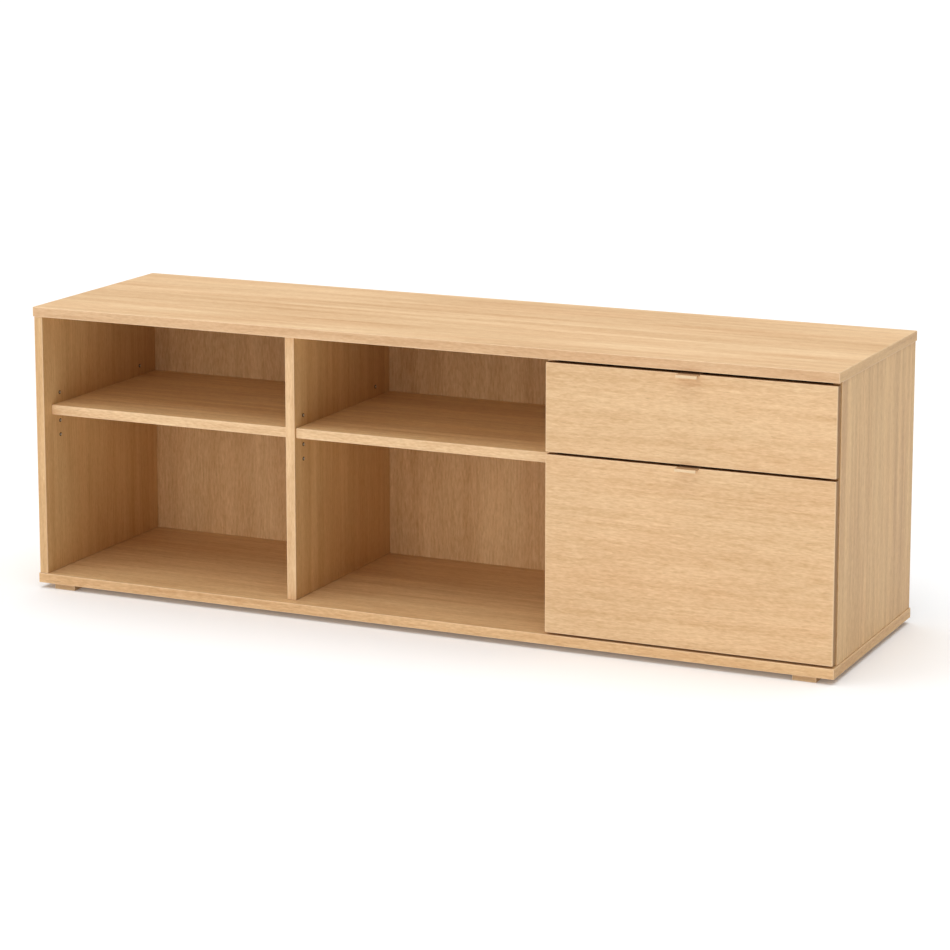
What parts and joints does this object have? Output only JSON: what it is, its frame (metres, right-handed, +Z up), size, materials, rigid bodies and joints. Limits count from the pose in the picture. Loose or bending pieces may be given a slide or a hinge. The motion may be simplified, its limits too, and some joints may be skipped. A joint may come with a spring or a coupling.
{
  "type": "media bench with drawers",
  "caption": "Long low oak-effect media bench: open bays with adjustable shelves beside stacked drawers with tab edge pulls, on low block feet.",
  "frame": {"origin": "on the floor, in the middle of the footprint that the top panel and the pulls' lips span", "axes": "+Z up, drawers open towards -Y, +X to the right as seen from the front"},
  "size_m": [1.46, 0.423, 0.5],
  "materials": {
    "oak_board": "honey oak-effect foil on particle board, satin",
    "oak_block": "oak-effect block, satin",
    "box_board": "light oak-effect foil, matt",
    "hardboard": "lacquered hardboard, matt",
    "pull_beige": "beige powder coat, satin",
    "white_steel": "white epoxy coat, satin",
    "zinc": "bright zinc plate",
    "nylon": "natural nylon"
  },
  "bodies": {
    "cabinet": {"top_panel": "oak_board", "bottom_panel": "oak_board", "left_side_panel": "oak_board", "right_side_panel": "oak_board", "left_partition": "oak_board", "right_partition": "oak_board", "back_panel": "oak_board", "left_shelf": "oak_board", "middle_shelf": "oak_board", "front_left_foot": "oak_block", "front_right_foot": "oak_block", "rear_left_foot": "oak_block", "rear_right_foot": "oak_block", "left_centre_foot": "oak_block", "right_centre_foot": "oak_block", "left_shelf_pin_left_front": "zinc", "left_shelf_pin_left_rear": "zinc", "left_shelf_pin_right_front": "zinc", "left_shelf_pin_right_rear": "zinc", "middle_shelf_pin_left_front": "zinc", "middle_shelf_pin_left_rear": "zinc", "middle_shelf_pin_right_front": "zinc", "middle_shelf_pin_right_rear": "zinc", "upper_left_cabinet_runner": "white_steel", "upper_right_cabinet_runner": "white_steel", "lower_left_cabinet_runner": "white_steel", "lower_right_cabinet_runner": "white_steel"},
    "upper_drawer": {"upper_drawer_front": "oak_board", "upper_drawer_left_side": "box_board", "upper_drawer_right_side": "box_board", "upper_drawer_back": "box_board", "upper_drawer_bottom": "hardboard", "upper_pull": "pull_beige", "upper_pull_screw_left": "zinc", "upper_pull_screw_right": "zinc", "upper_left_drawer_runner": "white_steel", "upper_right_drawer_runner": "white_steel"},
    "lower_drawer": {"lower_drawer_front": "oak_board", "lower_drawer_left_side": "box_board", "lower_drawer_right_side": "box_board", "lower_drawer_back": "box_board", "lower_drawer_bottom": "hardboard", "lower_pull": "pull_beige", "lower_pull_screw_left": "zinc", "lower_pull_screw_right": "zinc", "lower_left_drawer_runner": "white_steel", "lower_right_drawer_runner": "white_steel"},
    "upper_left_front_roller": {"upper_left_front_roller": "nylon"},
    "upper_left_rear_roller": {"upper_left_rear_roller": "nylon"},
    "upper_right_front_roller": {"upper_right_front_roller": "nylon"},
    "upper_right_rear_roller": {"upper_right_rear_roller": "nylon"},
    "lower_left_front_roller": {"lower_left_front_roller": "nylon"},
    "lower_left_rear_roller": {"lower_left_rear_roller": "nylon"},
    "lower_right_front_roller": {"lower_right_front_roller": "nylon"},
    "lower_right_rear_roller": {"lower_right_rear_roller": "nylon"}
  },
  "joints": [
    {"name": "upper_drawer_slide", "type": "slide", "parent": "cabinet", "child": "upper_drawer", "axis": [0, -1, 0], "range_m": [0, 0.26]},
    {"name": "lower_drawer_slide", "type": "slide", "parent": "cabinet", "child": "lower_drawer", "axis": [0, -1, 0], "range_m": [0, 0.26]},
    {"name": "upper_left_front_roller_spin", "type": "hinge", "parent": "cabinet", "child": "upper_left_front_roller", "pos_m": [0.25397, -0.163, 0.3585], "axis": [1, 0, 0], "range_deg": [0, 1660]},
    {"name": "upper_left_rear_roller_spin", "type": "hinge", "parent": "upper_drawer", "child": "upper_left_rear_roller", "pos_m": [0.25587, 0.152, 0.3555], "axis": [1, 0, 0], "range_deg": [0, 1660]},
    {"name": "upper_right_front_roller_spin", "type": "hinge", "parent": "cabinet", "child": "upper_right_front_roller", "pos_m": [0.7067, -0.163, 0.3585], "axis": [1, 0, 0], "range_deg": [0, 1660]},
    {"name": "upper_right_rear_roller_spin", "type": "hinge", "parent": "upper_drawer", "child": "upper_right_rear_roller", "pos_m": [0.7048, 0.152, 0.3555], "axis": [1, 0, 0], "range_deg": [0, 1660]},
    {"name": "lower_left_front_roller_spin", "type": "hinge", "parent": "cabinet", "child": "lower_left_front_roller", "pos_m": [0.25397, -0.163, 0.0575], "axis": [1, 0, 0], "range_deg": [0, 1660]},
    {"name": "lower_left_rear_roller_spin", "type": "hinge", "parent": "lower_drawer", "child": "lower_left_rear_roller", "pos_m": [0.25587, 0.152, 0.0545], "axis": [1, 0, 0], "range_deg": [0, 1660]},
    {"name": "lower_right_front_roller_spin", "type": "hinge", "parent": "cabinet", "child": "lower_right_front_roller", "pos_m": [0.7067, -0.163, 0.0575], "axis": [1, 0, 0], "range_deg": [0, 1660]},
    {"name": "lower_right_rear_roller_spin", "type": "hinge", "parent": "lower_drawer", "child": "lower_right_rear_roller", "pos_m": [0.7048, 0.152, 0.0545], "axis": [1, 0, 0], "range_deg": [0, 1660]}
  ],
  "couplings": [
    {"joint": "upper_left_front_roller_spin", "follows": "upper_drawer_slide", "rad_per_m": 111.11},
    {"joint": "upper_left_rear_roller_spin", "follows": "upper_drawer_slide", "rad_per_m": 111.11},
    {"joint": "upper_right_front_roller_spin", "follows": "upper_drawer_slide", "rad_per_m": 111.11},
    {"joint": "upper_right_rear_roller_spin", "follows": "upper_drawer_slide", "rad_per_m": 111.11},
    {"joint": "lower_left_front_roller_spin", "follows": "lower_drawer_slide", "rad_per_m": 111.11},
    {"joint": "lower_left_rear_roller_spin", "follows": "lower_drawer_slide", "rad_per_m": 111.11},
    {"joint": "lower_right_front_roller_spin", "follows": "lower_drawer_slide", "rad_per_m": 111.11},
    {"joint": "lower_right_rear_roller_spin", "follows": "lower_drawer_slide", "rad_per_m": 111.11}
  ]
}
